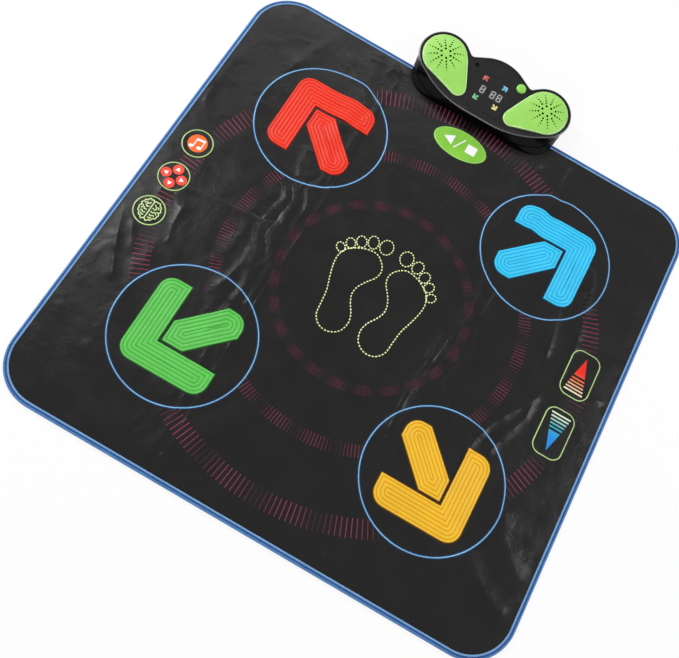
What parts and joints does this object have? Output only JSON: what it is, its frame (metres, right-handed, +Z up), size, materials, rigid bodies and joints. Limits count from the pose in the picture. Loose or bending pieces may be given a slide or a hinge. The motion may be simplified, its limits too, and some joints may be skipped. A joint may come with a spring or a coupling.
{
  "type": "electronic dance mat",
  "caption": "Square soft folding dance mat with raised arrow pads near its corners, small round and oblong touch pads, and a console with speakers on the rear edge.",
  "frame": {"origin": "centre of the mat on the floor", "axes": "+X to the player's right, +Y from the player to the console, +Z up"},
  "size_m": [0.9, 0.9725, 0.0498],
  "materials": {
    "vinyl_sheet": "black semi-gloss PVC sheet with a fine crinkle",
    "backing": "matt black non-slip backing",
    "switch_film": "translucent film",
    "foam": "open-cell foam sheet",
    "binding": "blue woven bias binding",
    "red_pad": "satin red soft PVC with concentric ribs",
    "blue_pad": "satin sky-blue soft PVC with concentric ribs",
    "green_pad": "satin green soft PVC with concentric ribs",
    "yellow_pad": "satin amber soft PVC with concentric ribs",
    "start_pad": "green printed soft PVC",
    "shell": "satin black ABS",
    "lime": "satin lime ABS",
    "window": "smoked acrylic",
    "display": "grey-white display digits on a dark block",
    "lamp_red": "clear red lens",
    "lamp_blue": "clear blue lens",
    "lamp_green": "clear green lens",
    "lamp_yellow": "clear yellow lens",
    "basket": "black painted steel",
    "speaker_paper": "black paper cone",
    "board": "green glass-fibre board",
    "steel": "nickel-plated steel",
    "cell": "plain grey battery jacket",
    "rubber": "black rubber"
  },
  "bodies": {
    "centre_and_console": {"centre_base_sheet": "backing", "centre_lower_film": "switch_film", "centre_upper_film": "switch_film", "centre_foam": "foam", "centre_top_sheet": "vinyl_sheet", "front_binding": "binding", "upper_shell": "shell", "lower_shell": "shell", "grille_left": "lime", "speaker_left": "basket", "speaker_cone_left": "speaker_paper", "clamp_screw_left": "steel", "shell_screw_left": "steel", "battery_contact_left": "steel", "rubber_foot_left": "rubber", "grille_right": "lime", "speaker_right": "basket", "speaker_cone_right": "speaker_paper", "clamp_screw_right": "steel", "shell_screw_right": "steel", "battery_contact_right": "steel", "rubber_foot_right": "rubber", "display_window": "window", "display_module": "display", "lamp_red": "lamp_red", "lamp_blue": "lamp_blue", "lamp_green": "lamp_green", "lamp_yellow": "lamp_yellow", "main_board": "board", "power_switch": "basket", "microphone": "basket", "battery_1": "cell", "battery_2": "cell", "battery_3": "cell", "clamp_bar": "steel", "membrane_tail": "switch_film"},
    "left_panel": {"left_base_sheet": "backing", "left_lower_film": "switch_film", "left_upper_film": "switch_film", "left_foam": "foam", "left_top_sheet": "vinyl_sheet", "left_binding": "binding"},
    "right_panel": {"right_base_sheet": "backing", "right_lower_film": "switch_film", "right_upper_film": "switch_film", "right_foam": "foam", "right_top_sheet": "vinyl_sheet", "right_binding": "binding"},
    "arrow_pad_red": {"arrow_pad_red": "red_pad"},
    "arrow_pad_green": {"arrow_pad_green": "green_pad"},
    "mode_pad_1": {"mode_pad_1": "vinyl_sheet"},
    "mode_pad_2": {"mode_pad_2": "vinyl_sheet"},
    "mode_pad_3": {"mode_pad_3": "vinyl_sheet"},
    "arrow_pad_blue": {"arrow_pad_blue": "blue_pad"},
    "arrow_pad_yellow": {"arrow_pad_yellow": "yellow_pad"},
    "volume_up_pad": {"volume_up_pad": "vinyl_sheet"},
    "volume_down_pad": {"volume_down_pad": "vinyl_sheet"},
    "start_stop_pad": {"start_stop_pad": "start_pad"},
    "power_button": {"power_button": "lime"},
    "battery_door": {"battery_door": "shell"}
  },
  "joints": [
    {"name": "left_fold", "type": "hinge", "parent": "centre_and_console", "child": "left_panel", "pos_m": [-0.148, 0, -0.00015], "axis": [0, -1, 0], "range_deg": [0, 180]},
    {"name": "right_fold", "type": "hinge", "parent": "centre_and_console", "child": "right_panel", "pos_m": [0.148, 0, -0.0062], "axis": [0, 1, 0], "range_deg": [0, 180]},
    {"name": "arrow_pad_red_press", "type": "slide", "parent": "left_panel", "child": "arrow_pad_red", "axis": [0, 0, -1], "range_m": [0, 0.001], "stiffness_N_per_m": 3000, "springref_m": -0.0006},
    {"name": "arrow_pad_green_press", "type": "slide", "parent": "left_panel", "child": "arrow_pad_green", "axis": [0, 0, -1], "range_m": [0, 0.001], "stiffness_N_per_m": 3000, "springref_m": -0.0006},
    {"name": "mode_pad_1_press", "type": "slide", "parent": "left_panel", "child": "mode_pad_1", "axis": [0, 0, -1], "range_m": [0, 0.001], "stiffness_N_per_m": 800, "springref_m": -0.0006},
    {"name": "mode_pad_2_press", "type": "slide", "parent": "left_panel", "child": "mode_pad_2", "axis": [0, 0, -1], "range_m": [0, 0.001], "stiffness_N_per_m": 800, "springref_m": -0.0006},
    {"name": "mode_pad_3_press", "type": "slide", "parent": "left_panel", "child": "mode_pad_3", "axis": [0, 0, -1], "range_m": [0, 0.001], "stiffness_N_per_m": 800, "springref_m": -0.0006},
    {"name": "arrow_pad_blue_press", "type": "slide", "parent": "right_panel", "child": "arrow_pad_blue", "axis": [0, 0, -1], "range_m": [0, 0.001], "stiffness_N_per_m": 3000, "springref_m": -0.0006},
    {"name": "arrow_pad_yellow_press", "type": "slide", "parent": "right_panel", "child": "arrow_pad_yellow", "axis": [0, 0, -1], "range_m": [0, 0.001], "stiffness_N_per_m": 3000, "springref_m": -0.0006},
    {"name": "volume_up_pad_press", "type": "slide", "parent": "right_panel", "child": "volume_up_pad", "axis": [0, 0, -1], "range_m": [0, 0.001], "stiffness_N_per_m": 800, "springref_m": -0.0006},
    {"name": "volume_down_pad_press", "type": "slide", "parent": "right_panel", "child": "volume_down_pad", "axis": [0, 0, -1], "range_m": [0, 0.001], "stiffness_N_per_m": 800, "springref_m": -0.0006},
    {"name": "start_stop_pad_press", "type": "slide", "parent": "centre_and_console", "child": "start_stop_pad", "axis": [0, 0, -1], "range_m": [0, 0.001], "stiffness_N_per_m": 800, "springref_m": -0.0006},
    {"name": "power_button_press", "type": "slide", "parent": "centre_and_console", "child": "power_button", "axis": [0, 0.1392, -0.9903], "range_m": [0, 0.0012], "stiffness_N_per_m": 400, "springref_m": -0.0006},
    {"name": "battery_door_swing", "type": "hinge", "parent": "centre_and_console", "child": "battery_door", "pos_m": [0, 0.4621, 0.002], "axis": [-1, 0, 0], "range_deg": [0, 100]}
  ]
}
